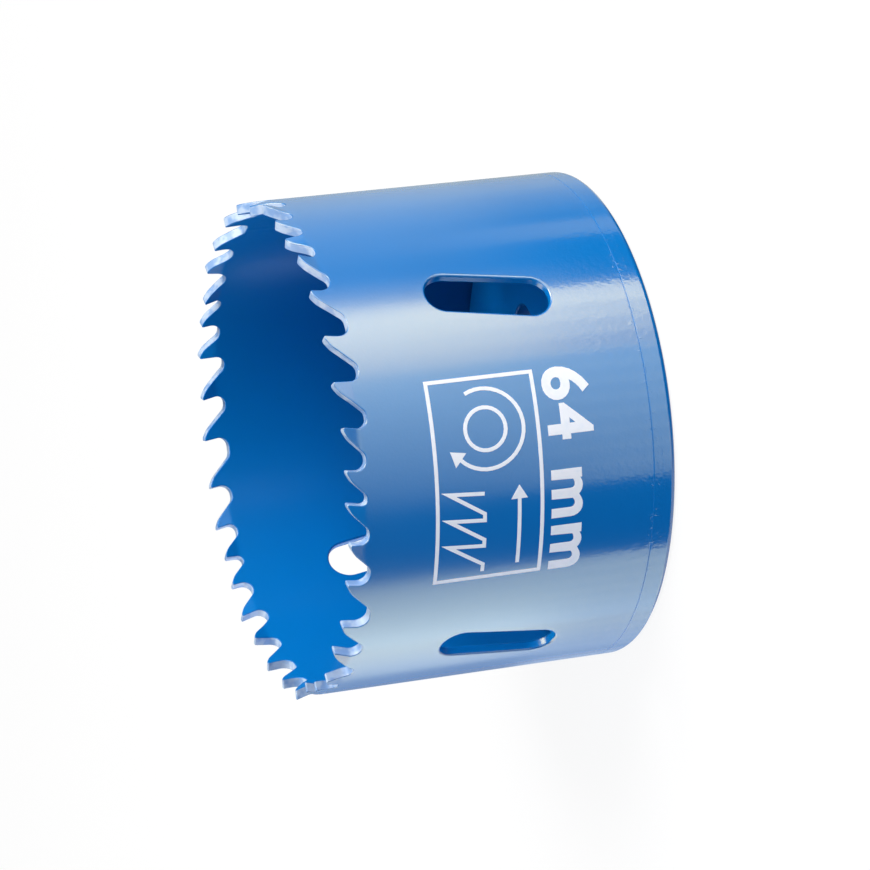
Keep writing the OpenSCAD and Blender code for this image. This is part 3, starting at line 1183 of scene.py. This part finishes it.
# Name, azimuth and elevation from and to in degrees, radiance at both ends, and tint
SOFTBOXES = [
    ("left_low_edge", 64, 96, -38, -20, 0.5, 0.6, COOL),
    ("left_low", 96, 130, -38, -20, 0.75, 1.4, COOL),
    ("left_low_end", 130, 171, -38, -20, 1.4, 1.15, COLD),
    ("left_high_edge", 64, 100, -20, -6, 0.22, 0.45, COOL),
    ("left_high", 100, 130, -20, -6, 1.0, 2.6, COOL),
    ("left_high_end", 130, 171, -20, -6, 2.7, 1.05, COLD),
    ("left_fill", 100, 165, -6, 30, 2.6, 1.2, PLAIN),
    ("left_top", 103, 133, 30, 66, 3.0, 3.0, PLAIN),
    ("front_low", 208, 268, -38, -20, 0.57, 0.92, COLD),
    ("front_high", 208, 268, -20, -6, 0.1, 1.3, COLD),
    ("front_top", 223, 283, 30, 66, 1.0, 1.55, PLAIN),
    ("right_low", 268, 300, -38, -20, 1.0, 3.1, PLAIN),
    ("right_high", 268, 300, -20, -6, 2.5, 4.5, PLAIN),
    ("right_shoulder", 300, 312, -20, -6, 1.2, 0.3, PLAIN),
    ("right_fill", 253, 313, -6, 30, 1.6, 1.6, PLAIN),
    ("right_top", 283, 343, 30, 66, 5.4, 4.4, PLAIN),
    ("far_low_strip", 330, 341, -38, -20, 0.55, 0.55, WARM),
    ("far_low", 343, 376, -38, -20, 0.1, 0.64, WARM),
    ("far_low_end", 376, 416, -38, -20, 0.7, 0.45, WARM),
    ("far_high", 312, 376, -20, -6, 0.15, 0.8, WARM),
    ("far_high_end", 376, 416, -20, -6, 0.78, 0.5, WARM),
    ("under_front", 140, 215, -64, -40, 0.6, 0.6, PLAIN),
    ("under_back", 90, 135, -80, -38, 0.5, 0.5, PLAIN),
    ("under_far", 45, 90, -80, -38, 0.25, 0.25, PLAIN),
    ("back_fill", 343, 373, -6, 30, 0.85, 0.85, PLAIN),
]


def strip_lamp(name, azimuth, elevation, wide, tall, radiance, tint):
    """A rectangular lamp that faces the tool. Its power follows from its brightness."""
    a, e = math.radians(azimuth), math.radians(elevation)
    away = Vector((math.cos(a) * math.cos(e), math.sin(a) * math.cos(e), math.sin(e)))
    lamp = bpy.data.lights.new(name, "AREA")
    lamp.shape = "RECTANGLE"
    lamp.size = 2 * LIGHT_DISTANCE * math.tan(math.radians(wide) / 2)
    lamp.size_y = 2 * LIGHT_DISTANCE * math.tan(math.radians(tall) / 2)
    lamp.energy = radiance * max(tint) * math.pi * lamp.size * lamp.size_y
    lamp.color = [c / max(tint) for c in tint]
    stand = new_object(name, lamp)
    stand.location = Vector((0, 0, height * MM / 2)) + away * LIGHT_DISTANCE
    stand.rotation_mode = "QUATERNION"
    stand.rotation_quaternion = (-away).to_track_quat("-Z", "Y")
    stand.visible_camera = False


def softbox(name, from_az, to_az, low, high, first, last, tint):
    """A row of strip lamps, from the first to the last radiance. Returns how many."""
    count = 1 if first == last else math.ceil((to_az - from_az) / WIDEST_LAMP)
    wide = (to_az - from_az) / count
    for k in range(count):
        share = (k + 0.5) / count
        strip_lamp(f"{name}_{k}", from_az + (to_az - from_az) * share, (low + high) / 2, wide, high - low,
                   first + (last - first) * share, tint)
    return count


lamp_count = sum(softbox(*row) for row in SOFTBOXES)
print(f"{lamp_count} lamps in {len(SOFTBOXES)} softboxes")

# %% [markdown]
# ## The room
#
# Behind the tool the room is plain white, but only to the camera. If the lacquer mirrored
# a white room, its dark bands would be gone, so for every other ray the room is nearly
# dark and just lifts the deepest shadows.

# %% The world
AMBIENT = 0.01


def make_world():
    world = bpy.data.worlds.new("studio")
    world.use_nodes = True
    world.node_tree.nodes.clear()
    shade = Shade(world.node_tree)
    room = shade.node("ShaderNodeBackground", inputs={"Color": PURE_WHITE, "Strength": AMBIENT})
    white = shade.node("ShaderNodeBackground", inputs={"Color": PURE_WHITE, "Strength": 1.0})
    seen = shade.node("ShaderNodeLightPath", output="Is Camera Ray")
    shade.node("ShaderNodeOutputWorld", inputs={"Surface": seen.mix_shaders(room, white)})
    bpy.context.scene.world = world


make_world()

# %% [markdown]
# ## Camera
#
# The tool stands up, but it is seen from a low side with the camera turned over on its
# side, so that in the picture its teeth point left. Three angles, a distance and the
# point in the middle of the picture place the camera, and a long lens keeps it flat.

# %% The camera
AZIMUTH, ELEVATION, ROLL = math.radians(-29.741), math.radians(18.884), math.radians(96.949)
AIM = Vector((-0.513, 0.360, 20.170)) * MM
DISTANCE = 476.4 * MM
LENS, SENSOR = 153.15, 36
# What the camera sees at all lies between these distances, in metres
NEAREST, FARTHEST = 0.01, 20


def make_camera():
    back = Vector((math.sin(AZIMUTH) * math.cos(ELEVATION),
                   -math.cos(AZIMUTH) * math.cos(ELEVATION), math.sin(ELEVATION)))
    level = Vector((math.cos(AZIMUTH), math.sin(AZIMUTH), 0))
    upright = back.cross(level)
    up = upright * math.cos(ROLL) + level * math.sin(ROLL)
    camera = new_object("camera", bpy.data.cameras.new("camera"))
    turn = Matrix((up.cross(back), up, back)).transposed().to_4x4()
    camera.matrix_world = Matrix.Translation(AIM + back * DISTANCE) @ turn
    camera.data.lens, camera.data.sensor_width = LENS, SENSOR
    camera.data.clip_start, camera.data.clip_end = NEAREST, FARTHEST
    bpy.context.scene.camera = camera


make_camera()
bpy.context.scene.view_settings.view_transform = "Standard"
print(f"camera {DISTANCE / MM:.0f} mm away, with a lens of {LENS:.0f} mm")
